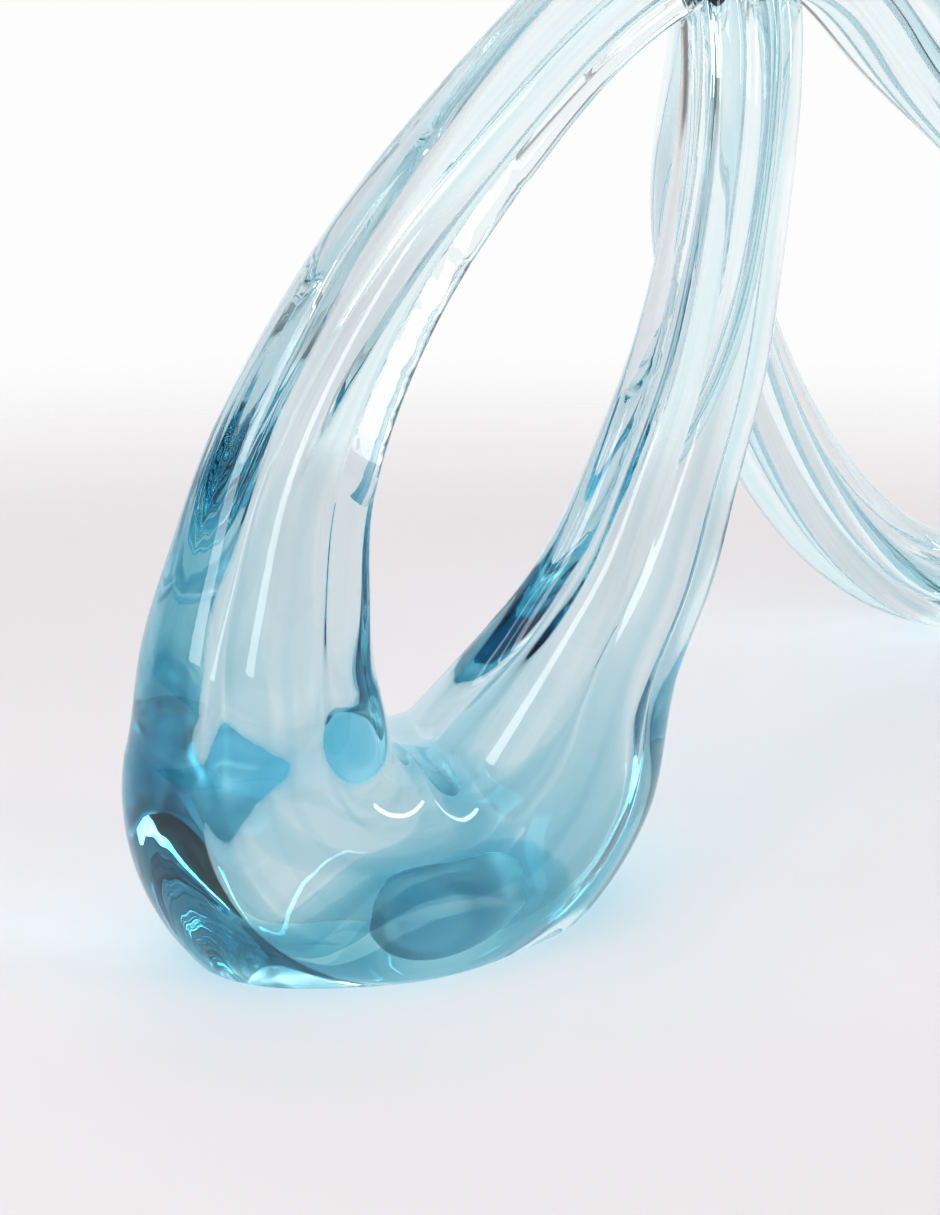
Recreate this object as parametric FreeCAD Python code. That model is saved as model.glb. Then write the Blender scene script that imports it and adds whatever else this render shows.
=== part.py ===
"""Glass wave sculpture: a heavy foot, a tall front loop that leans over it, and a leaning ring behind.

Every run of the sculpture is drawn out of the same gather, so it has the same make-up: a coloured core
with three clear strands fused round it, and a deep groove between each two strands. The foot holds the
same four pieces at their widest and is ground flat underneath. All lengths are in millimetres. The
origin is the middle of the ground face, +Z is up, +X runs along the front loop and +Y away from the
viewer.
"""

import FreeCAD, Part
import bisect
import math
import os
from collections import namedtuple

Vector = FreeCAD.Vector
Section = namedtuple("Section", "radius groove_share")
Station = namedtuple("Station", "centre outward forward section")

# The crest, where the front loop turns over into the ring
CREST_REACH = 118.0
CREST_HEIGHT = 283.0

# The lowest point of the front loop's window, which the sections of the foot fan round
WINDOW_FOOT_REACH = 6.0
WINDOW_FOOT_HEIGHT = 64.5
RIGHT_ROOT_DROP_DEG = 24.5

# The right arm rises in front of the loop's plane, and the ring comes down behind it
RIGHT_ARM_REACH = 112.0
RIGHT_ARM_LEAD = 13.0
RING_REACH = 326.0
RING_SETBACK = 126.0

# The whole section's radius along the arms, at the two roots and at the foot's lowest place
ARM_RADIUS = 18.0
LEFT_ROOT_RADIUS = 40.0
RIGHT_ROOT_RADIUS = 40.0
FOOT_RADIUS = 49.0

# How far the strands' middles stand out, as a share of the section's radius: more gives deeper grooves
ARM_GROOVE_SHARE = 0.44
FOOT_GROOVE_SHARE = 0.27

# The coloured core's corners, as a share of the section's radius
CORE_SHARE = 0.30

# The sections' middles at the roots and the foot's lowest place, from the window's lowest point
LEFT_ROOT_CENTRE = 38.0
RIGHT_ROOT_CENTRE = 51.0
FOOT_CENTRE = 42.5
LEFT_ROOT_TWIST_DEG = -13.0

# How many short lengths each run is drawn in between its ends, and the flats round each strand's back
LEFT_ARM_SPANS = 26
RIGHT_ARM_SPANS = 24
ARCH_SPANS = 22
TAIL_SPANS = 22
HALF_FOOT_SPANS = 9
STRAND_FLATS = 14

# How many lengths of a run on each side of the crest other runs' ends are seated on
SEAT_SPANS = 8

# Which way the front strand faces: along the front loop, round the ring and over the right arm's head
FORWARD = Vector(0.0, -1.0, 0.0)
RING_FACE = Vector(-0.295, -0.777, -0.557)
HEAD_FACE = Vector(0.0, -0.3, 0.95)

# Each table's columns: reach, setback and height as shares of the lengths named above it, the growth
# from the arm's section to the root's, the share of the second facing, and the twist in degrees

# Left arm and crest: CREST_REACH, RING_SETBACK, CREST_HEIGHT, RING_FACE
LEFT_ARM_SHARES = (
    (-0.270, 0.004, 0.322, 0.79, 0.0, -14.0),
    (-0.240, 0.008, 0.399, 0.61, 0.0, -15.0),
    (-0.185, 0.016, 0.498, 0.40, 0.0, -16.0),
    (-0.064, 0.032, 0.608, 0.23, 0.0, -15.0),
    (0.122, 0.040, 0.728, 0.11, 0.0, -12.0),
    (0.339, 0.048, 0.830, 0.04, 0.0, -8.0),
    (0.559, 0.048, 0.919, 0.0, 0.0, -5.0),
    (0.763, 0.056, 0.975, 0.0, 0.0, -2.0),
    (1.0, 0.071, 1.0, 0.0, 0.0, 0.0),
    (1.263, 0.095, 0.972, 0.0, 0.0, 0.0),
)

# Arch and the ring's far side: RING_REACH, RING_SETBACK, CREST_HEIGHT, RING_FACE
ARCH_SHARES = (
    (0.549, 0.143, 0.873, 0.0, 0.14, 0.0),
    (0.663, 0.238, 0.753, 0.0, 0.32, 0.0),
    (0.794, 0.389, 0.601, 0.0, 0.52, 0.0),
    (0.929, 0.563, 0.431, 0.0, 0.74, 0.0),
    (1.0, 0.738, 0.261, 0.0, 0.92, 0.0),
    (0.985, 0.921, 0.113, 0.0, 1.0, 0.0),
    (0.890, 1.0, 0.057, 0.0, 1.0, 0.0),
)

# Tail, back up to the crest: RING_REACH, RING_SETBACK, CREST_HEIGHT, RING_FACE
TAIL_SHARES = (
    (0.791, 0.984, 0.087, 0.0, 1.0, 0.0),
    (0.709, 0.952, 0.157, 0.0, 1.0, 0.0),
    (0.623, 0.897, 0.272, 0.0, 1.0, 0.0),
    (0.549, 0.825, 0.410, 0.0, 1.0, 0.0),
    (0.488, 0.714, 0.558, 0.0, 1.0, 0.0),
    (0.451, 0.563, 0.707, 0.0, 1.0, 0.0),
    (0.426, 0.373, 0.845, 0.0, 1.0, 0.0),
    (0.402, 0.238, 0.922, 0.0, 1.0, 0.0),
    (0.371, 0.095, 0.989, 0.0, 1.0, 0.0),
)

# Right arm, from its head on the crest down: RIGHT_ARM_REACH, RIGHT_ARM_LEAD, CREST_HEIGHT, HEAD_FACE
RIGHT_ARM_SHARES = (
    (1.018, 0.54, 0.996, 0.0, 1.0, 0.0),
    (1.010, -0.38, 0.961, 0.0, 0.5, 0.0),
    (1.0, -0.85, 0.898, 0.0, 0.0, 0.0),
    (0.982, -1.0, 0.813, 0.0, 0.0, 0.0),
    (0.950, -0.92, 0.696, 0.04, 0.0, 0.0),
    (0.902, -0.69, 0.572, 0.13, 0.0, 0.0),
    (0.821, -0.46, 0.456, 0.23, 0.0, 0.0),
    (0.741, -0.31, 0.360, 0.35, 0.0, 0.0),
    (0.634, -0.15, 0.275, 0.50, 0.0, 0.0),
)

ARM = Section(ARM_RADIUS, ARM_GROOVE_SHARE)
LEFT_ROOT = Section(LEFT_ROOT_RADIUS, FOOT_GROOVE_SHARE)
RIGHT_ROOT = Section(RIGHT_ROOT_RADIUS, FOOT_GROOVE_SHARE)
FOOT = Section(FOOT_RADIUS, FOOT_GROOVE_SHARE)

# A strand stands every third of a turn: outwards, to the front and to the back
STRAND_ANGLES = {"outer": 0.0, "front": 2 * math.pi / 3, "back": 4 * math.pi / 3}
GROOVE_ANGLE = math.pi / 3


def blend(first, second, share):
    """The section that lies the given share of the way from the first to the second."""
    return Section(*(a + (b - a) * share for a, b in zip(first, second)))


def turned(outward, forward, degrees):
    """The two directions of a section, turned towards each other by an angle."""
    angle = math.radians(degrees)
    return (
        outward * math.cos(angle) + forward * math.sin(angle),
        forward * math.cos(angle) - outward * math.sin(angle),
    )


def fan_station(turn_deg, centre_radius, section, twist_deg):
    """A station of the foot: its plane holds the line through the window's lowest point along Y."""
    turn = math.radians(turn_deg)
    radial = Vector(math.cos(turn), 0, math.sin(turn))
    hinge = Vector(WINDOW_FOOT_REACH, 0, WINDOW_FOOT_HEIGHT)
    outward, forward = turned(radial, FORWARD, twist_deg)
    return Station(hinge + radial * centre_radius, outward, forward, section)


def foot_stations():
    """The foot's sections, from the right root under the window to the left root."""
    lowest = -90.0
    half_turns = []
    for root, root_centre, root_deg, twist_deg in (
        (RIGHT_ROOT, RIGHT_ROOT_CENTRE, -RIGHT_ROOT_DROP_DEG, 0.0),
        (LEFT_ROOT, LEFT_ROOT_CENTRE, -180.0, LEFT_ROOT_TWIST_DEG),
    ):
        stations = []
        for index in range(HALF_FOOT_SPANS + 1):
            share = index / HALF_FOOT_SPANS
            growth = math.cos(math.radians(90.0 * share))
            stations.append(
                fan_station(
                    lowest + (root_deg - lowest) * share,
                    root_centre + (FOOT_CENTRE - root_centre) * growth,
                    blend(root, FOOT, growth),
                    twist_deg * (1 - growth),
                )
            )
        half_turns.append(stations)
    right_half, left_half = half_turns
    return right_half[::-1] + left_half[1:]


def rows_of(table, reach, setback, height, far_facing):
    """A table's rows in real sizes: the middle, and the growth, facing and twist there."""
    return [
        (
            Vector(row[0] * reach, row[1] * setback, row[2] * height),
            (row[3], FORWARD * (1 - row[4]) + far_facing * row[4], row[5]),
        )
        for row in table
    ]


class Route:
    """The whole path of the glass, from the head of the right arm through the foot to the tail's end."""

    def __init__(self, rows):
        self.path = Part.BSplineCurve()
        self.path.interpolate([point for point, _ in rows])
        self.parameters = [self.path.parameter(point) for point, _ in rows]
        self.rows = [values for _, values in rows]

    def between_rows(self, parameter):
        """Growth, facing and twist at a parameter, straight from one table row to the next."""
        last = len(self.rows) - 1
        after = min(max(bisect.bisect_right(self.parameters, parameter), 1), last)
        start, end = self.parameters[after - 1], self.parameters[after]
        share = (parameter - start) / (end - start)
        return [a * (1 - share) + b * share for a, b in zip(self.rows[after - 1], self.rows[after])]

    def station(self, parameter, root):
        """The station square to the path, grown from the arm's section towards the root's."""
        travel = self.path.tangent(parameter)[0]
        growth, facing, twist_deg = self.between_rows(parameter)
        forward = facing - travel * facing.dot(travel)
        forward.normalize()
        outward = forward.cross(travel)
        outward, forward = turned(outward, forward, twist_deg)
        return Station(self.path.value(parameter), outward, forward, blend(ARM, root, growth))

    def stations(self, first, last, spans, root):
        """Evenly spread stations between two of the route's points, both ends included."""
        start, end = self.parameters[first], self.parameters[last]
        step = (end - start) / spans
        return [self.station(start + step * index, root) for index in range(spans + 1)]


class Outline:
    """One station's section in space: three round-backed strands that meet in grooves, round the core."""

    def __init__(self, station):
        self.station = station
        radius, share = station.section
        self.strand_radius = radius * (1 - share)
        self.strand_offset = radius * share
        self.core_radius = radius * CORE_SHARE
        groove_radius = radius * (share + math.sqrt(4 * (1 - share) ** 2 - 3 * share**2)) / 2
        self.half_sweep = math.atan2(
            groove_radius * math.sin(GROOVE_ANGLE),
            groove_radius * math.cos(GROOVE_ANGLE) - self.strand_offset,
        )

    def across(self, angle):
        """The direction across the run at an angle from the section's outward side."""
        return self.station.outward * math.cos(angle) + self.station.forward * math.sin(angle)

    def strand_back(self, angle):
        """Points round a strand's back, from the groove on one side to the groove on the other."""
        middle = self.station.centre + self.across(angle) * self.strand_offset
        steps = [2 * index / STRAND_FLATS - 1 for index in range(STRAND_FLATS + 1)]
        return [
            middle + self.across(angle + step * self.half_sweep) * self.strand_radius for step in steps
        ]

    def core_corner(self, angle):
        """A corner of the core, which lies under a groove."""
        return self.station.centre + self.across(angle) * self.core_radius

    def pieces(self):
        """The points round each piece: a strand's back and two core corners, or the core's three."""
        outlines = {"core": [self.core_corner(angle + GROOVE_ANGLE) for angle in STRAND_ANGLES.values()]}
        for name, angle in STRAND_ANGLES.items():
            corners = [self.core_corner(angle + GROOVE_ANGLE), self.core_corner(angle - GROOVE_ANGLE)]
            outlines[name] = self.strand_back(angle) + corners
        return outlines

    def envelope(self):
        """The points round the whole section."""
        return [point for angle in STRAND_ANGLES.values() for point in self.strand_back(angle)[:-1]]


def flat_face(points):
    """A flat face with straight sides through the points."""
    return Part.Face(Part.makePolygon([*points, points[0]]))


def patch(a, b, c, d):
    """The side between two outlines' points, as two triangles that meet on the shorter diagonal."""
    if a.distanceToPoint(c) < b.distanceToPoint(d):
        triangles = (a, b, c), (a, c, d)
    else:
        triangles = (a, b, d), (b, c, d)
    return [flat_face(triangle) for triangle in triangles]


def loft(outlines):
    """A solid of flat faces through the matching points of successive outlines."""
    faces = [flat_face(outlines[0]), flat_face(outlines[-1])]
    for near, far in zip(outlines, outlines[1:]):
        for index in range(len(near)):
            faces += patch(near[index - 1], near[index], far[index], far[index - 1])
    shell = Part.Shell(faces)
    shell.sewShape()
    solid = Part.Solid(shell)
    if solid.Volume < 0:
        solid.reverse()
    return solid


def run_pieces(stations):
    """The core and the three strands of one run, each a solid through all its stations."""
    outlines = [Outline(station).pieces() for station in stations]
    return {piece: loft([outline[piece] for outline in outlines]) for piece in outlines[0]}


def run_envelope(stations):
    """One solid round all the pieces of a run, used to seat the ends of other runs on it."""
    return loft([Outline(station).envelope() for station in stations])


def largest(shape):
    """The main solid of a cut shape."""
    return max(shape.Solids, key=lambda solid: solid.Volume)


def ground_block():
    """The space below the ground face, wider than the whole sculpture."""
    reach = RING_REACH + RING_SETBACK
    return Part.makeBox(2 * reach, 2 * reach, reach, Vector(-reach, -reach, -reach))


def runs():
    """The stations of each run; runs that follow each other share the station between them."""
    foot = foot_stations()
    right_arm = rows_of(
        RIGHT_ARM_SHARES, RIGHT_ARM_REACH, RIGHT_ARM_LEAD, CREST_HEIGHT, HEAD_FACE
    )
    left_arm = rows_of(LEFT_ARM_SHARES, CREST_REACH, RING_SETBACK, CREST_HEIGHT, RING_FACE)
    arch = rows_of(ARCH_SHARES, RING_REACH, RING_SETBACK, CREST_HEIGHT, RING_FACE)
    tail = rows_of(TAIL_SHARES, RING_REACH, RING_SETBACK, CREST_HEIGHT, RING_FACE)
    bottom = [(station.centre, (1.0, FORWARD, 0.0)) for station in foot[:-1]]
    bottom.append((foot[-1].centre, (1.0, FORWARD, LEFT_ROOT_TWIST_DEG)))
    route = Route(right_arm + bottom + left_arm + arch + tail)

    right_root = len(right_arm)
    left_root = right_root + len(bottom) - 1
    crest_end = left_root + len(left_arm)
    ground_end = crest_end + len(arch)
    tail_end = ground_end + len(tail)
    right = route.stations(0, right_root, RIGHT_ARM_SPANS, RIGHT_ROOT)
    left = route.stations(left_root, crest_end, LEFT_ARM_SPANS, LEFT_ROOT)
    return {
        "foot": foot,
        "left_arm": [foot[-1]] + left[1:],
        "arch": route.stations(crest_end, ground_end, ARCH_SPANS, LEFT_ROOT),
        "tail": route.stations(ground_end, tail_end, TAIL_SPANS, LEFT_ROOT),
        "right_arm": right[:-1] + [foot[0]],
    }


def build():
    """Every piece under its run's and its own name."""
    stations = runs()
    pieces = {}
    for run in stations:
        for piece, solid in run_pieces(stations[run]).items():
            pieces[run, piece] = solid

    ground = ground_block()
    crest = run_envelope(stations["left_arm"][-SEAT_SPANS - 1 :])
    shoulder = run_envelope(stations["arch"][: SEAT_SPANS + 1])
    head = run_envelope(stations["right_arm"][: SEAT_SPANS + 1])
    seats = {
        "foot": [ground],
        "arch": [ground],
        "right_arm": [crest],
        "tail": [ground, crest, shoulder, head],
    }
    for (run, piece), solid in pieces.items():
        for seat in seats.get(run, []):
            solid = largest(solid.cut(seat))
        pieces[run, piece] = solid
    return pieces


NAMES = {
    ("foot", "outer"): "foot_sole",
    ("foot", "front"): "foot_front_swell",
    ("foot", "back"): "foot_back_swell",
}

os.makedirs("parts", exist_ok=True)
for (run, piece), solid in build().items():
    plain = f"{run}_core" if piece == "core" else f"{run}_{piece}_strand"
    solid.exportStep(f"parts/{NAMES.get((run, piece), plain)}.step")
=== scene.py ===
"""Glass wave sculpture: clear glass over a blue-green core, on a pale floor. Lengths are in metres."""

import math
from collections import namedtuple

import bpy
import numpy as np
from bpy.props import FloatProperty, FloatVectorProperty, IntProperty, PointerProperty
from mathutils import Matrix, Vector


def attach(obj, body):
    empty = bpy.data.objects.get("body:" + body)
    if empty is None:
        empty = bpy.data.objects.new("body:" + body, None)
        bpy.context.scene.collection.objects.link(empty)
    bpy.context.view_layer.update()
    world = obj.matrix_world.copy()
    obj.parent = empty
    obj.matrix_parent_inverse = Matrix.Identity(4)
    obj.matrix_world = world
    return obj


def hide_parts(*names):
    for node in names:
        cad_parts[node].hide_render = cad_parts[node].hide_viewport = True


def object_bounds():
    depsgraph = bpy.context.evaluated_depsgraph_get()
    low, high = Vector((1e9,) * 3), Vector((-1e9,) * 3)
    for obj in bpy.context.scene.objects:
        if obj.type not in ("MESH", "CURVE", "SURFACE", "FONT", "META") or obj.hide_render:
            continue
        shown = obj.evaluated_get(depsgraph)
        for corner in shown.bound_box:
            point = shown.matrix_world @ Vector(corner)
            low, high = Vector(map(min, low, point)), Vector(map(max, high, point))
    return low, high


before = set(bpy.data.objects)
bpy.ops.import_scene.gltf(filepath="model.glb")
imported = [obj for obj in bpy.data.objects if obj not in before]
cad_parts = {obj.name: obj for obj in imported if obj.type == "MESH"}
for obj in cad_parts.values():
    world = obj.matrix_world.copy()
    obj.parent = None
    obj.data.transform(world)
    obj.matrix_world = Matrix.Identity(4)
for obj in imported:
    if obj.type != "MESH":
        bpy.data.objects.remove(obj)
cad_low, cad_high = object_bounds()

bl_info = {
    "name": "Glass wave sculpture",
    "version": (1, 0, 0),
    "blender": (4, 5, 0),
    "location": "3D View > Sidebar > Glass wave",
    "description": "Builds the clear glass, the colour inside it and the studio round them",
    "category": "Object",
}

CORE_NODES = [name for name in sorted(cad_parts) if name.endswith("_core")]
CLEAR_NODES = [name for name in sorted(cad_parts) if name not in CORE_NODES]

# The crest, where the front loop turns over into the ring
CREST_REACH = 0.118
CREST_HEIGHT = 0.283

# The lowest point of the front loop's window. The sections of the foot fan round it, from the right root
# over the lowest section to the left root
WINDOW_FOOT = Vector((0.006, 0.0, 0.0645))
RIGHT_ROOT_DEG = -24.5
LOWEST_DEG = -90.0
LEFT_ROOT_DEG = -180.0

# The right arm rises in front of the loop's plane, and the ring comes down behind it
RIGHT_ARM_REACH = 0.112
RIGHT_ARM_LEAD = 0.013
RING_REACH = 0.326
RING_SETBACK = 0.126

# A section's radius, and how far from its middle its outer rib's middle lies, as a share of the radius
Section = namedtuple("Section", "radius groove_share")
ARM = Section(0.018, 0.44)
LEFT_ROOT = Section(0.040, 0.27)
RIGHT_ROOT = Section(0.040, 0.27)
FOOT = Section(0.0475, 0.27)

# How far from the window's lowest point the sections of the foot have their middles
LEFT_ROOT_CENTRE = 0.038
RIGHT_ROOT_CENTRE = 0.051
FOOT_CENTRE = 0.044

# How far the left root's section is turned, in how many steps the foot's sections come from a root to the
# lowest one, and how far up an arm its sections settle into the root's directions
LEFT_ROOT_TWIST_DEG = -13.0
HALF_FOOT_STEPS = 36
ROOT_SETTLING = 0.07

# Which way the front strand faces: along the front loop, round the ring and over the right arm's head
FORWARD = Vector((0.0, -1.0, 0.0))
RING_FACE = Vector((-0.295, -0.777, -0.557))
HEAD_FACE = Vector((0.0, -0.3, 0.95))

# Each table's columns: reach, setback and height as shares of the lengths named over the table, the growth
# from the arm's section to the root's, the share of the second facing, and the twist in degrees

# Left arm and crest: CREST_REACH, RING_SETBACK, CREST_HEIGHT
LEFT_ARM_SHARES = (
    (-0.270, 0.004, 0.322, 0.79, 0.0, -14.0),
    (-0.240, 0.008, 0.399, 0.61, 0.0, -15.0),
    (-0.185, 0.016, 0.498, 0.40, 0.0, -16.0),
    (-0.064, 0.032, 0.608, 0.23, 0.0, -15.0),
    (0.122, 0.040, 0.728, 0.11, 0.0, -12.0),
    (0.339, 0.048, 0.830, 0.04, 0.0, -8.0),
    (0.559, 0.048, 0.919, 0.0, 0.0, -5.0),
    (0.763, 0.056, 0.975, 0.0, 0.0, -2.0),
    (1.0, 0.071, 1.0, 0.0, 0.0, 0.0),
    (1.263, 0.095, 0.972, 0.0, 0.0, 0.0),
)

# Arch and the ring's far side: RING_REACH, RING_SETBACK, CREST_HEIGHT
ARCH_SHARES = (
    (0.549, 0.143, 0.873, 0.0, 0.14, 0.0),
    (0.663, 0.238, 0.753, 0.0, 0.32, 0.0),
    (0.794, 0.389, 0.601, 0.0, 0.52, 0.0),
    (0.929, 0.563, 0.431, 0.0, 0.74, 0.0),
    (1.0, 0.738, 0.261, 0.0, 0.92, 0.0),
    (0.985, 0.921, 0.113, 0.0, 1.0, 0.0),
    (0.890, 1.0, 0.057, 0.0, 1.0, 0.0),
)

# Tail, back up to the crest: RING_REACH, RING_SETBACK, CREST_HEIGHT
TAIL_SHARES = (
    (0.791, 0.984, 0.087, 0.0, 1.0, 0.0),
    (0.709, 0.952, 0.157, 0.0, 1.0, 0.0),
    (0.623, 0.897, 0.272, 0.0, 1.0, 0.0),
    (0.549, 0.825, 0.410, 0.0, 1.0, 0.0),
    (0.488, 0.714, 0.558, 0.0, 1.0, 0.0),
    (0.451, 0.563, 0.707, 0.0, 1.0, 0.0),
    (0.426, 0.373, 0.845, 0.0, 1.0, 0.0),
    (0.402, 0.238, 0.922, 0.0, 1.0, 0.0),
    (0.371, 0.095, 0.989, 0.0, 1.0, 0.0),
)

# Right arm, from its head on the crest down: RIGHT_ARM_REACH, RIGHT_ARM_LEAD, CREST_HEIGHT
RIGHT_ARM_SHARES = (
    (1.018, 0.54, 0.996, 0.0, 1.0, 0.0),
    (1.010, -0.38, 0.961, 0.0, 0.5, 0.0),
    (1.0, -0.85, 0.898, 0.0, 0.0, 0.0),
    (0.982, -1.0, 0.813, 0.0, 0.0, 0.0),
    (0.950, -0.92, 0.696, 0.04, 0.0, 0.0),
    (0.902, -0.69, 0.572, 0.13, 0.0, 0.0),
    (0.821, -0.46, 0.456, 0.23, 0.0, 0.0),
    (0.741, -0.31, 0.360, 0.35, 0.0, 0.0),
    (0.634, -0.15, 0.275, 0.50, 0.0, 0.0),
)

# The ribs that the glass is drawn in, in degrees round the section from its outer side. The front strand
# and the back strand are two ribs each. Their middles lie further out than the outer rib's by the offset
# ratio, and they reach out to the reach share of the section's radius
OUTER_RIB_DEG = 0.0
PAIRED_RIBS_DEG = (90.0, 138.0, -90.0, -138.0)
PAIRED_RIB_OFFSET_RATIO = 1.55
PAIRED_RIB_REACH_SHARE = 0.985

# How sharp the grooves between the ribs are
ARM_CRISPNESS = 180.0
FOOT_CRISPNESS = 20.0

# The broad runs of colour inside the glass: where each lies, in degrees round the section and as a share of
# its radius, its own radius as such a share, how much faster than the glass it thins out of the foot, and
# its sides
BROAD_RUNS = (
    (0.0, 0.0, 0.050, -1.0, 20),
    (0.0, 0.64, 0.180, 0.8, 40),
    (30.0, 0.68, 0.170, 2.0, 20),
    (-30.0, 0.68, 0.170, 2.0, 20),
    (50.0, 0.61, 0.150, 2.0, 20),
    (-50.0, 0.61, 0.150, 2.0, 20),
)

# The threads of colour: where each lies and its own radius, in the same measures
THREADS = (
    (28.0, 0.50, 0.024),
    (62.0, 0.42, 0.028),
    (84.0, 0.64, 0.020),
    (104.0, 0.36, 0.024),
    (126.0, 0.60, 0.021),
    (150.0, 0.34, 0.026),
    (176.0, 0.36, 0.021),
    (-34.0, 0.50, 0.026),
    (-76.0, 0.58, 0.021),
    (-112.0, 0.40, 0.028),
    (-138.0, 0.60, 0.021),
)
THREAD_THINNING = -0.3
THREAD_SIDES = 10

# The runs of colour stop short of the glass's two ends by a few stations and take every second one
RUN_END_STATIONS = 3
RUN_STRIDE = 2

# How much clear glass stays under a run of colour
RUN_CLEARANCE = 0.003

# How near two points are merged, and up to which angle between them two faces are shaded as one
MERGE_DISTANCE = 1e-6
SMOOTHING_DEG = 40.0

# How far the block that grinds the underside flat passes the glass
BLOCK_MARGIN = Vector((0.05, 0.05, 0.05))

# The glass is matt below this height
UNDERSIDE_HEIGHT = 0.0003

# The streaks along the glass: how close they lie, for each part of the run attribute, how fine they are, and
# how strongly and how far they rise
STREAK_STRETCH = (2.6, 2.6, 5.0)
STREAK_DETAIL = 1.5
STREAK_STRENGTH = 0.10
STREAK_RISE = 0.0025

# What a surface lets through of a lamp's light: the clear glass most of it, the colour inside all of it
PASSING_COLOUR = (0.95, 0.975, 0.985)
WHITE = (1.0, 1.0, 1.0)

# The camera: where it stands and what it looks along, as measured from the photograph's perspective
CAMERA_PLACE = Vector((-0.4284, -0.9886, 0.5377))
CAMERA_VIEW = Vector((0.392, 0.840, -0.375))
CAMERA_LENS_MM = 120.6
CAMERA_SENSOR_MM = 36.0

# How many times light may pass or mirror in the glass
LIGHT_BOUNCES = 32

# The floor's middle lies towards the camera, so that its far rim fades out close behind the glass, and just
# under the glass. It has faded out a little before its rim
FLOOR_MIDDLE = Vector((-0.25, -0.60, -0.0004))
FLOOR_SIDES = 96
FLOOR_RIM = 0.01

# The softboxes: their places from the middle of the glass, their widths and their heights
SOFTBOXES = {
    "key": (Vector((-0.2, 0.3, 1.4)), 2.0, 2.0),
    "side": (Vector((-1.1, -0.5, 0.5)), 0.35, 1.0),
    "strip": (Vector((0.9, -0.8, 0.5)), 0.10, 1.2),
}

# The backdrop as the camera sees it
BACKDROP_COLOUR = (0.985, 0.985, 0.985)

# The room as the glass shows and mirrors it, from behind the camera (0) round to the backdrop (1)
ROOM_SHADES = (
    (0.0, (0.80, 0.80, 0.81)),
    (0.30, (0.50, 0.48, 0.48)),
    (0.41, (0.13, 0.10, 0.085)),
    (0.62, (0.17, 0.13, 0.11)),
    (0.71, (1.0, 1.0, 1.0)),
)

# How many points are placed on the route at a time
MARK_BATCH = 20000


class GlassShape(bpy.types.PropertyGroup):
    """How finely the glass is drawn."""

    step: FloatProperty(
        name="Step", description="Spacing of the sections along a run", default=0.0036, unit="LENGTH"
    )
    sides: IntProperty(name="Sides", description="Points round a section of the clear glass", default=180)


class GlassFinish(bpy.types.PropertyGroup):
    """Colours and depth of colour of the glass."""

    casing_tint: FloatVectorProperty(
        name="Casing tint",
        description="Colour the clear glass passes",
        default=(0.04, 0.62, 0.725),
        subtype="COLOR",
    )
    casing_density: FloatProperty(
        name="Casing density", description="How fast the clear glass takes colour, per metre", default=5.0
    )
    core_tint: FloatVectorProperty(
        name="Core tint", description="Colour the core passes", default=(0.04, 0.62, 0.73), subtype="COLOR"
    )
    core_density: FloatProperty(
        name="Core density", description="How fast the core takes colour, per metre", default=55.0
    )
    ior: FloatProperty(name="Refraction", description="Index of refraction of the glass", default=1.51)
    underside_roughness: FloatProperty(
        name="Underside", description="Roughness of the ground underside", default=0.24, subtype="FACTOR"
    )


class StudioLight(bpy.types.PropertyGroup):
    """The floor's colour and the lamps' strength."""

    floor_colour: FloatVectorProperty(
        name="Floor", description="Colour of the floor", default=(0.785, 0.757, 0.774), subtype="COLOR"
    )
    floor_radius: FloatProperty(
        name="Floor radius", description="Where the floor has faded out", default=1.22, unit="LENGTH"
    )
    floor_fade: FloatProperty(
        name="Floor fade", description="How soon before its rim the floor fades", default=0.26, unit="LENGTH"
    )
    key_power: FloatProperty(
        name="Key", description="Power of the overhead softbox", default=12.0, unit="POWER"
    )
    side_power: FloatProperty(
        name="Side", description="Power of the side softbox", default=6.0, unit="POWER"
    )
    strip_power: FloatProperty(
        name="Strip", description="Power of the narrow softbox", default=5.0, unit="POWER"
    )


Station = namedtuple("Station", "centre outward forward section")


def blend(first, second, share):
    """The section that lies the given share of the way from the first to the second."""
    return Section(*(a + (b - a) * share for a, b in zip(first, second)))


def turned(outward, forward, degrees):
    """The two directions of a section, turned towards each other by an angle."""
    turn = math.radians(degrees)
    return (
        outward * math.cos(turn) + forward * math.sin(turn),
        forward * math.cos(turn) - outward * math.sin(turn),
    )


def foot_stations():
    """The foot's sections, which fan round the window's lowest point from the right root to the left."""
    halves = []
    for root, root_centre, root_deg, twist_deg in (
        (RIGHT_ROOT, RIGHT_ROOT_CENTRE, RIGHT_ROOT_DEG, 0.0),
        (LEFT_ROOT, LEFT_ROOT_CENTRE, LEFT_ROOT_DEG, LEFT_ROOT_TWIST_DEG),
    ):
        stations = []
        for index in range(HALF_FOOT_STEPS + 1):
            share = index / HALF_FOOT_STEPS
            growth = math.cos(math.radians(90.0 * share))
            turn = math.radians(LOWEST_DEG + (root_deg - LOWEST_DEG) * share)
            radial = Vector((math.cos(turn), 0.0, math.sin(turn)))
            centre = WINDOW_FOOT + radial * (root_centre + (FOOT_CENTRE - root_centre) * growth)
            outward, forward = turned(radial, FORWARD, twist_deg * (1 - growth))
            stations.append(Station(centre, outward, forward, blend(root, FOOT, growth)))
        halves.append(stations)
    right_half, left_half = halves
    return right_half[::-1] + left_half[1:]


def table_rows(table, reach, setback, height, root, far_facing):
    """A table's rows in real sizes: the middle, the section, the facing and the twist."""
    return [
        (
            Vector((across * reach, back * setback, up * height)),
            blend(ARM, root, growth),
            FORWARD * (1 - far_share) + far_facing * far_share,
            twist_deg,
        )
        for across, back, up, growth, far_share, twist_deg in table
    ]


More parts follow.
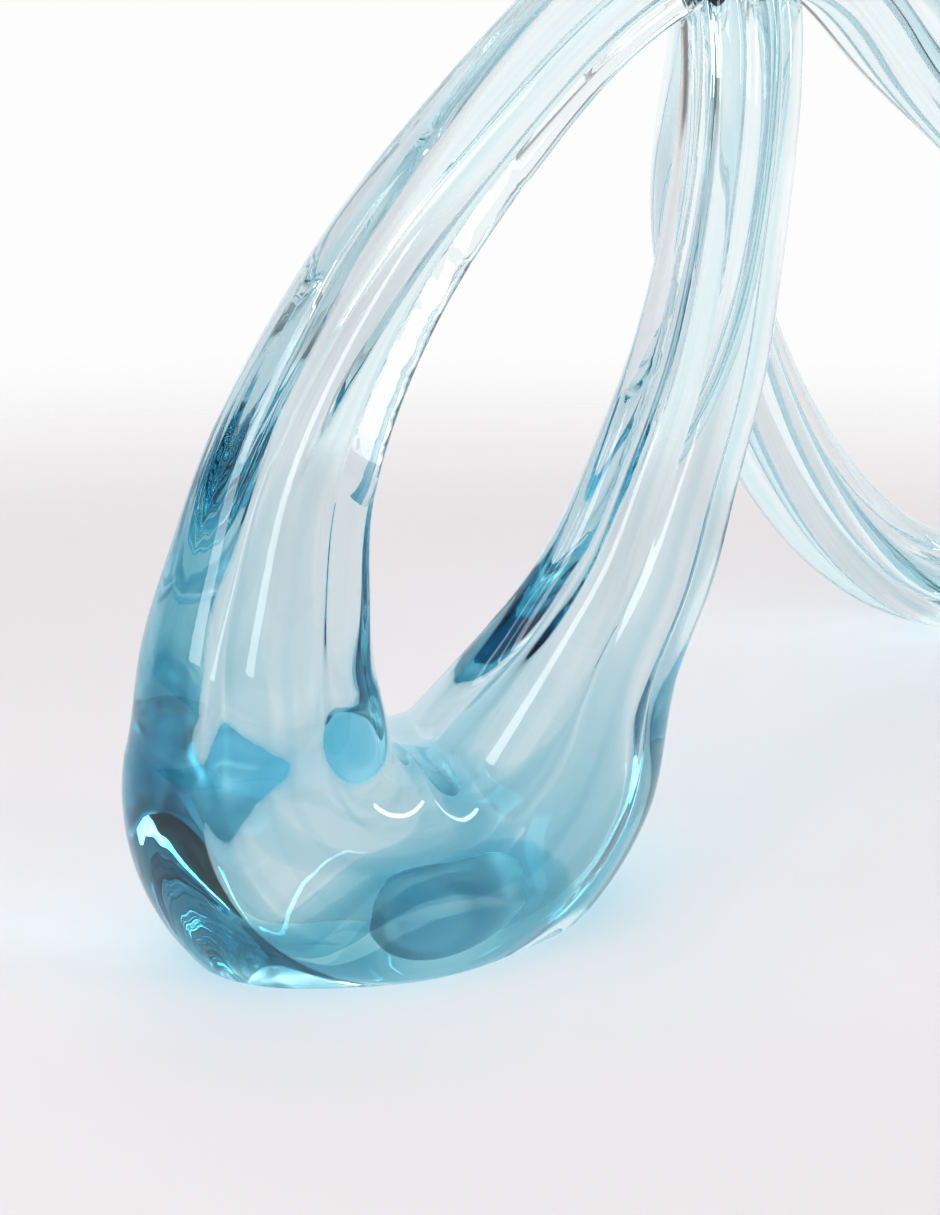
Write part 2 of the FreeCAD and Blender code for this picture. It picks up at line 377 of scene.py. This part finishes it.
def smooth_curve(knots, values):
    """A cubic curve through the values at the knots, straight at its ends, as a function of the distance."""
    gaps = np.diff(knots)
    slopes = np.diff(values, axis=0) / gaps[:, None]
    count = len(knots)
    matrix = np.eye(count)
    right = np.zeros_like(values)
    for row in range(1, count - 1):
        matrix[row, row - 1 : row + 2] = gaps[row - 1], 2 * (gaps[row - 1] + gaps[row]), gaps[row]
        right[row] = 6 * (slopes[row] - slopes[row - 1])
    bends = np.linalg.solve(matrix, right)

    def at(distance):
        row = min(max(int(np.searchsorted(knots, distance)) - 1, 0), count - 2)
        gap = gaps[row]
        after = distance - knots[row]
        before = gap - after
        return (
            (bends[row] * before**3 + bends[row + 1] * after**3) / (6 * gap)
            + (values[row] / gap - bends[row] * gap / 6) * before
            + (values[row + 1] / gap - bends[row + 1] * gap / 6) * after
        )

    return at


def settled(station, root, apart):
    """A station turned towards the root's own directions, the nearer it is to the root the more."""
    near = max(1.0 - apart / ROOT_SETTLING, 0.0)
    near = near * near * (3.0 - 2.0 * near)
    outward = station.outward.lerp(root.outward, near).normalized()
    forward = station.forward.lerp(root.forward, near)
    forward = (forward - outward * forward.dot(outward)).normalized()
    return Station(station.centre, outward, forward, station.section)


def distances_along(points):
    """How far along the line through the points each of them lies."""
    return np.concatenate([[0.0], np.cumsum(np.linalg.norm(np.diff(points, axis=0), axis=1))])


def route_stations(step):
    """Evenly spread stations along the arms and the ring, with the foot's own stations between them."""
    ring = (RING_REACH, RING_SETBACK, CREST_HEIGHT, LEFT_ROOT, RING_FACE)
    foot = foot_stations()
    right_arm = table_rows(
        RIGHT_ARM_SHARES, RIGHT_ARM_REACH, RIGHT_ARM_LEAD, CREST_HEIGHT, RIGHT_ROOT, HEAD_FACE
    )
    roots = [(station.centre, station.section, FORWARD, 0.0) for station in foot]
    roots[-1] = (foot[-1].centre, LEFT_ROOT, FORWARD, LEFT_ROOT_TWIST_DEG)
    rows = (
        right_arm
        + roots
        + table_rows(LEFT_ARM_SHARES, CREST_REACH, RING_SETBACK, CREST_HEIGHT, LEFT_ROOT, RING_FACE)
        + table_rows(ARCH_SHARES, *ring)
        + table_rows(TAIL_SHARES, *ring)
    )
    centres = np.array([row[0] for row in rows])
    knots = distances_along(centres)
    path = smooth_curve(knots, centres)
    growth = smooth_curve(knots, np.array([row[1] for row in rows]))
    others = np.array([[*facing, twist] for _, _, facing, twist in rows])

    # Half the length over which the direction of travel is taken
    nudge = step / 10

    def station(distance):
        travel = Vector(path(distance + nudge) - path(distance - nudge)).normalized()
        x, y, z, twist_deg = (np.interp(distance, knots, column) for column in others.T)
        facing = Vector((x, y, z))
        forward = (facing - travel * facing.dot(travel)).normalized()
        outward, forward = turned(forward.cross(travel), forward, twist_deg)
        return Station(Vector(path(distance)), outward, forward, Section(*growth(distance)))

    def stretch(start, end, root, root_distance):
        return [
            settled(station(distance), root, abs(distance - root_distance))
            for distance in np.linspace(start, end, round((end - start) / step))
        ]

    right_root = knots[len(right_arm)]
    left_root = knots[len(right_arm) + len(foot) - 1]
    return (
        stretch(0.0, right_root, foot[0], right_root)[:-1]
        + foot
        + stretch(left_root, knots[-1], foot[-1], left_root)[1:]
    )


def ribbed_outline(section, turns):
    """How far the clear glass stands out from the section's middle at each turn, with soft grooves."""
    radius, share = section
    ribs = [(OUTER_RIB_DEG, share, 1.0 - share)]
    paired_offset = share * PAIRED_RIB_OFFSET_RATIO
    ribs += [(degrees, paired_offset, PAIRED_RIB_REACH_SHARE - paired_offset) for degrees in PAIRED_RIBS_DEG]
    reaches = []
    for degrees, offset, thickness in ribs:
        apart = turns - math.radians(degrees)
        inside = np.maximum(thickness**2 - (offset * np.sin(apart)) ** 2, 0.0)
        reaches.append(offset * np.cos(apart) + np.sqrt(inside))
    grooved = (share - FOOT.groove_share) / (ARM.groove_share - FOOT.groove_share)
    crispness = FOOT_CRISPNESS + (ARM_CRISPNESS - FOOT_CRISPNESS) * grooved**2
    return radius * np.log(np.sum(np.exp(crispness * np.array(reaches)), axis=0)) / crispness


def round_outline(share, thinning):
    """A round section with a share of the whole section's radius, less or more of it away from the foot."""

    def outline(section, turns):
        return np.full(len(turns), section.radius * share * (section.radius / FOOT.radius) ** thinning)

    return outline


def swept(name, stations, sides, outline, offset_degrees=0.0, offset_share=0.0):
    """A closed mass whose outline at each station is given as distances round the section."""
    offset_turn = math.radians(offset_degrees)
    turns = np.linspace(0.0, 2 * math.pi, sides + 1)
    rows = []
    for station in stations:
        reach = outline(station.section, turns)
        outward, forward = np.array(station.outward), np.array(station.forward)
        across = outward * math.cos(offset_turn) + forward * math.sin(offset_turn)
        middle = np.array(station.centre) + across * station.section.radius * offset_share
        if offset_share:
            middle[2] = max(middle[2], reach.max() + RUN_CLEARANCE)
        rows.append(
            middle + np.outer(reach * np.cos(turns), outward) + np.outer(reach * np.sin(turns), forward)
        )
    bpy.ops.object.select_all(action="DESELECT")
    bpy.ops.mesh.primitive_grid_add(x_subdivisions=sides, y_subdivisions=len(stations) - 1)
    piece = bpy.context.object
    piece.name = piece.data.name = name
    piece.data.vertices.foreach_set("co", np.concatenate(rows).ravel())
    bpy.ops.object.mode_set(mode="EDIT")
    bpy.ops.mesh.select_all(action="SELECT")
    bpy.ops.mesh.remove_doubles(threshold=MERGE_DISTANCE)
    bpy.ops.mesh.fill_holes(sides=0)
    bpy.ops.mesh.normals_make_consistent(inside=False)
    bpy.ops.object.mode_set(mode="OBJECT")
    return piece


def apply_modifier(piece, kind, **settings):
    """Adds a modifier with the given settings and applies it."""
    bpy.context.view_layer.objects.active = piece
    modifier = piece.modifiers.new(kind.title(), kind)
    for key, value in settings.items():
        setattr(modifier, key, value)
    bpy.ops.object.modifier_apply(modifier=modifier.name)


def join(pieces, name):
    """Several meshes as one object with one mesh."""
    bpy.ops.object.select_all(action="DESELECT")
    for piece in pieces:
        piece.select_set(True)
    bpy.context.view_layer.objects.active = pieces[0]
    bpy.ops.object.join()
    joined = bpy.context.object
    joined.name = joined.data.name = name
    return joined


def grind_flat(piece, height):
    """Cuts a piece off flat at a height and makes one surface of the stretches of it that overlap."""
    bpy.ops.object.select_all(action="DESELECT")
    low, high = cad_low - BLOCK_MARGIN, cad_high + BLOCK_MARGIN
    depth = height - low.z
    bpy.ops.mesh.primitive_cube_add(
        size=1.0,
        location=((low.x + high.x) / 2, (low.y + high.y) / 2, height - depth / 2),
        scale=(high.x - low.x, high.y - low.y, depth),
    )
    block = bpy.context.object
    apply_modifier(piece, "BOOLEAN", operation="DIFFERENCE", solver="EXACT", use_self=True, object=block)
    bpy.data.objects.remove(block)
    bpy.ops.object.select_all(action="DESELECT")
    piece.select_set(True)
    bpy.context.view_layer.objects.active = piece
    bpy.ops.object.shade_smooth_by_angle(angle=math.radians(SMOOTHING_DEG))


def mark_run(piece, stations):
    """Writes on each point how it lies round the section and how far along the route, for the streaks."""
    centres = np.array([station.centre for station in stations])
    outwards = np.array([station.outward for station in stations])
    forwards = np.array([station.forward for station in stations])
    along = distances_along(centres)
    points = np.empty(len(piece.data.vertices) * 3)
    piece.data.vertices.foreach_get("co", points)
    points = points.reshape(-1, 3)
    marks = np.empty_like(points)
    for start in range(0, len(points), MARK_BATCH):
        batch = points[start : start + MARK_BATCH]
        nearest = np.argmin(np.linalg.norm(batch[:, None] - centres[None], axis=2), axis=1)
        arms = batch - centres[nearest]
        turns = np.arctan2(
            np.sum(arms * forwards[nearest], axis=1), np.sum(arms * outwards[nearest], axis=1)
        )
        marks[start : start + MARK_BATCH] = np.stack([np.cos(turns), np.sin(turns), along[nearest]], axis=1)
    attribute = piece.data.attributes.new("run", "FLOAT_VECTOR", "POINT")
    attribute.data.foreach_set("vector", marks.ravel())


def new_material(name):
    """An empty node material, its node tree and its output node."""
    material = bpy.data.materials.new(name)
    material.use_nodes = True
    material.node_tree.nodes.clear()
    output = material.node_tree.nodes.new("ShaderNodeOutputMaterial")
    return material, material.node_tree, output


def glass_surface(tree, output, ior, passing_colour):
    """A polished surface of clear glass, which a lamp's light passes straight with the given colour."""
    surface = tree.nodes.new("ShaderNodeBsdfPrincipled")
    surface.inputs["Base Color"].default_value = (*WHITE, 1.0)
    surface.inputs["Roughness"].default_value = 0.0
    surface.inputs["IOR"].default_value = ior
    surface.inputs["Transmission Weight"].default_value = 1.0
    passing = tree.nodes.new("ShaderNodeBsdfTransparent")
    passing.inputs["Color"].default_value = (*passing_colour, 1.0)
    light_path = tree.nodes.new("ShaderNodeLightPath")
    mix = tree.nodes.new("ShaderNodeMixShader")
    tree.links.new(light_path.outputs["Is Shadow Ray"], mix.inputs[0])
    tree.links.new(surface.outputs[0], mix.inputs[1])
    tree.links.new(passing.outputs[0], mix.inputs[2])
    tree.links.new(mix.outputs[0], output.inputs["Surface"])
    return surface


def glass_depth(tree, output, tint, density):
    """Glass that takes colour with its depth."""
    volume = tree.nodes.new("ShaderNodeVolumeAbsorption")
    volume.inputs["Color"].default_value = (*tint, 1.0)
    volume.inputs["Density"].default_value = density
    tree.links.new(volume.outputs[0], output.inputs["Volume"])


def grind_matt(tree, surface, roughness):
    """Makes the ground underside matt."""
    place = tree.nodes.new("ShaderNodeTexCoord")
    parts = tree.nodes.new("ShaderNodeSeparateXYZ")
    underside = tree.nodes.new("ShaderNodeMath")
    underside.operation = "LESS_THAN"
    underside.inputs[1].default_value = UNDERSIDE_HEIGHT
    matt = tree.nodes.new("ShaderNodeMath")
    matt.operation = "MULTIPLY"
    matt.inputs[1].default_value = roughness
    tree.links.new(place.outputs["Object"], parts.inputs[0])
    tree.links.new(parts.outputs["Z"], underside.inputs[0])
    tree.links.new(underside.outputs[0], matt.inputs[0])
    tree.links.new(matt.outputs[0], surface.inputs["Roughness"])


def draw_streaks(tree, surface):
    """Lays faint streaks along the route on a surface."""
    run = tree.nodes.new("ShaderNodeAttribute")
    run.attribute_name = "run"
    stretch = tree.nodes.new("ShaderNodeVectorMath")
    stretch.operation = "MULTIPLY"
    stretch.inputs[1].default_value = STREAK_STRETCH
    streaks = tree.nodes.new("ShaderNodeTexNoise")
    streaks.inputs["Scale"].default_value = 1.0
    streaks.inputs["Detail"].default_value = STREAK_DETAIL
    bump = tree.nodes.new("ShaderNodeBump")
    bump.inputs["Strength"].default_value = STREAK_STRENGTH
    bump.inputs["Distance"].default_value = STREAK_RISE
    tree.links.new(run.outputs["Vector"], stretch.inputs[0])
    tree.links.new(stretch.outputs["Vector"], streaks.inputs["Vector"])
    tree.links.new(streaks.outputs["Fac"], bump.inputs["Height"])
    tree.links.new(bump.outputs[0], surface.inputs["Normal"])


def clear_glass(finish):
    """Clear glass with a faint tint, streaks along the route and a ground underside."""
    material, tree, output = new_material("clear_glass")
    surface = glass_surface(tree, output, finish.ior, PASSING_COLOUR)
    glass_depth(tree, output, finish.casing_tint, finish.casing_density)
    grind_matt(tree, surface, finish.underside_roughness)
    draw_streaks(tree, surface)
    return material


def tinted_glass(finish):
    """The coloured glass inside, which bends no light and so shows no surface, only depth of colour."""
    material, tree, output = new_material("tinted_glass")
    glass_surface(tree, output, 1.0, WHITE)
    glass_depth(tree, output, finish.core_tint, finish.core_density)
    return material


def finish_piece(piece, material, nodes):
    """Gives a piece its material and says what it stands for and rides on."""
    piece.data.materials.clear()
    piece.data.materials.append(material)
    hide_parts(*nodes)
    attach(piece, "root")


class GLASSWAVE_OT_clear_casing(bpy.types.Operator):
    """Draws the ribbed clear glass along the whole route as one mass and grinds its underside flat"""

    bl_idname = "glasswave.clear_casing"
    bl_label = "Clear casing"

    def execute(self, context):
        shape = context.scene.glass_shape
        stations = route_stations(shape.step)
        casing = swept("clear_casing", stations, shape.sides, ribbed_outline)
        grind_flat(casing, 0.0)
        mark_run(casing, stations)
        finish_piece(casing, clear_glass(context.scene.glass_finish), CLEAR_NODES)
        return {"FINISHED"}


class GLASSWAVE_OT_tinted_core(bpy.types.Operator):
    """Draws the blue-green runs and threads of colour inside the glass, along the whole route"""

    bl_idname = "glasswave.tinted_core"
    bl_label = "Tinted core"

    def execute(self, context):
        stations = route_stations(context.scene.glass_shape.step)
        stations = stations[RUN_END_STATIONS:-RUN_END_STATIONS:RUN_STRIDE]
        runs = BROAD_RUNS + tuple((*thread, THREAD_THINNING, THREAD_SIDES) for thread in THREADS)
        core = join(
            [
                swept("colour", stations, sides, round_outline(share, thinning), degrees, offset_share)
                for degrees, offset_share, share, thinning, sides in runs
            ],
            "tinted_core",
        )
        bpy.ops.object.shade_smooth()
        finish_piece(core, tinted_glass(context.scene.glass_finish), CORE_NODES)
        return {"FINISHED"}


def softbox(name, place, aim, width, height, power):
    """A rectangular lamp that faces a point."""
    bpy.ops.object.light_add(type="AREA", location=place)
    lamp = bpy.context.object
    lamp.name = name
    lamp.data.shape = "RECTANGLE"
    lamp.data.size = width
    lamp.data.size_y = height
    lamp.data.energy = power
    lamp.rotation_euler = (Vector(aim) - Vector(place)).to_track_quat("-Z", "Y").to_euler()


class GLASSWAVE_OT_stage(bpy.types.Operator):
    """Lays the pale floor, hangs the softboxes, sets the white surroundings and places the camera"""

    bl_idname = "glasswave.stage"
    bl_label = "Studio"

    def execute(self, context):
        studio = context.scene.studio_light
        self.lay_floor(studio)
        self.set_surroundings(context.scene)
        middle = (cad_low + cad_high) / 2
        for name, (place, width, height) in SOFTBOXES.items():
            power = getattr(studio, name + "_power")
            softbox(name + "_softbox", middle + place, middle, width, height, power)
        self.place_camera(context.scene)
        context.scene.view_settings.view_transform = "Standard"
        context.scene.cycles.max_bounces = LIGHT_BOUNCES
        context.scene.cycles.transmission_bounces = LIGHT_BOUNCES
        context.scene.cycles.glossy_bounces = LIGHT_BOUNCES
        context.scene.cycles.transparent_max_bounces = LIGHT_BOUNCES
        return {"FINISHED"}

    def place_camera(self, scene):
        """Stands the camera where the photograph was taken from."""
        bpy.ops.object.camera_add(location=CAMERA_PLACE)
        camera = bpy.context.object
        camera.rotation_euler = CAMERA_VIEW.to_track_quat("-Z", "Y").to_euler()
        camera.data.lens = CAMERA_LENS_MM
        camera.data.sensor_width = CAMERA_SENSOR_MM
        scene.camera = camera

    def lay_floor(self, studio):
        """Lays a matt floor that fades into the backdrop."""
        bpy.ops.mesh.primitive_circle_add(
            vertices=FLOOR_SIDES, radius=studio.floor_radius, fill_type="NGON", location=FLOOR_MIDDLE
        )
        floor = bpy.context.object
        floor.name = "floor"
        material, tree, output = new_material("pale_floor")
        surface = tree.nodes.new("ShaderNodeBsdfDiffuse")
        surface.inputs["Color"].default_value = (*studio.floor_colour, 1.0)
        faded = tree.nodes.new("ShaderNodeBsdfTransparent")
        place = tree.nodes.new("ShaderNodeTexCoord")
        distance = tree.nodes.new("ShaderNodeVectorMath")
        distance.operation = "LENGTH"
        fade = tree.nodes.new("ShaderNodeMapRange")
        fade.interpolation_type = "SMOOTHSTEP"
        fade.inputs["From Min"].default_value = studio.floor_radius - studio.floor_fade
        fade.inputs["From Max"].default_value = studio.floor_radius - FLOOR_RIM
        mix = tree.nodes.new("ShaderNodeMixShader")
        tree.links.new(place.outputs["Object"], distance.inputs[0])
        tree.links.new(distance.outputs["Value"], fade.inputs["Value"])
        tree.links.new(fade.outputs["Result"], mix.inputs[0])
        tree.links.new(surface.outputs[0], mix.inputs[1])
        tree.links.new(faded.outputs[0], mix.inputs[2])
        tree.links.new(mix.outputs[0], output.inputs["Surface"])
        floor.data.materials.append(material)

    def set_surroundings(self, scene):
        """Sets the backdrop that the camera sees and the room that the glass shows and mirrors."""
        world = bpy.data.worlds.new("studio_surroundings")
        world.use_nodes = True
        scene.world = world
        tree = world.node_tree
        tree.nodes.clear()
        output = tree.nodes.new("ShaderNodeOutputWorld")
        backdrop = tree.nodes.new("ShaderNodeBackground")
        backdrop.inputs["Color"].default_value = (*BACKDROP_COLOUR, 1.0)
        room = tree.nodes.new("ShaderNodeBackground")
        place = tree.nodes.new("ShaderNodeTexCoord")
        side = tree.nodes.new("ShaderNodeVectorMath")
        side.operation = "DOT_PRODUCT"
        side.inputs[1].default_value = CAMERA_VIEW.normalized()
        ramp = tree.nodes.new("ShaderNodeValToRGB")
        while len(ramp.color_ramp.elements) < len(ROOM_SHADES):
            ramp.color_ramp.elements.new(0.5)
        for stop, (position, shade) in zip(ramp.color_ramp.elements, ROOM_SHADES):
            stop.position = position
            stop.color = (*shade, 1.0)
        spread = tree.nodes.new("ShaderNodeMapRange")
        spread.inputs["From Min"].default_value = -1.0
        spread.inputs["From Max"].default_value = 1.0
        light_path = tree.nodes.new("ShaderNodeLightPath")
        mix = tree.nodes.new("ShaderNodeMixShader")
        tree.links.new(place.outputs["Generated"], side.inputs[0])
        tree.links.new(side.outputs["Value"], spread.inputs["Value"])
        tree.links.new(spread.outputs["Result"], ramp.inputs["Fac"])
        tree.links.new(ramp.outputs["Color"], room.inputs["Color"])
        tree.links.new(light_path.outputs["Is Camera Ray"], mix.inputs[0])
        tree.links.new(room.outputs[0], mix.inputs[1])
        tree.links.new(backdrop.outputs[0], mix.inputs[2])
        tree.links.new(mix.outputs[0], output.inputs["Surface"])


class GLASSWAVE_PT_panel(bpy.types.Panel):
    """Lists the pieces and the studio in the sidebar"""

    bl_idname = "GLASSWAVE_PT_panel"
    bl_label = "Glass wave"
    bl_space_type = "VIEW_3D"
    bl_region_type = "UI"
    bl_category = "Glass wave"

    def draw(self, context):
        for operator in OPERATORS:
            self.layout.operator(operator.bl_idname)


GROUPS = {"glass_shape": GlassShape, "glass_finish": GlassFinish, "studio_light": StudioLight}
OPERATORS = (GLASSWAVE_OT_clear_casing, GLASSWAVE_OT_tinted_core, GLASSWAVE_OT_stage)


def register():
    """Adds the settings, the operators and the panel to Blender."""
    for name, group in GROUPS.items():
        bpy.utils.register_class(group)
        setattr(bpy.types.Scene, name, PointerProperty(type=group))
    for operator in OPERATORS:
        bpy.utils.register_class(operator)
    bpy.utils.register_class(GLASSWAVE_PT_panel)


def unregister():
    """Takes the panel, the operators and the settings out of Blender again."""
    bpy.utils.unregister_class(GLASSWAVE_PT_panel)
    for operator in reversed(OPERATORS):
        bpy.utils.unregister_class(operator)
    for name, group in GROUPS.items():
        delattr(bpy.types.Scene, name)
        bpy.utils.unregister_class(group)


def main():
    """Builds the glass and its studio."""
    register()
    bpy.ops.glasswave.clear_casing()
    bpy.ops.glasswave.tinted_core()
    bpy.ops.glasswave.stage()


if __name__ == "__main__":
    main()
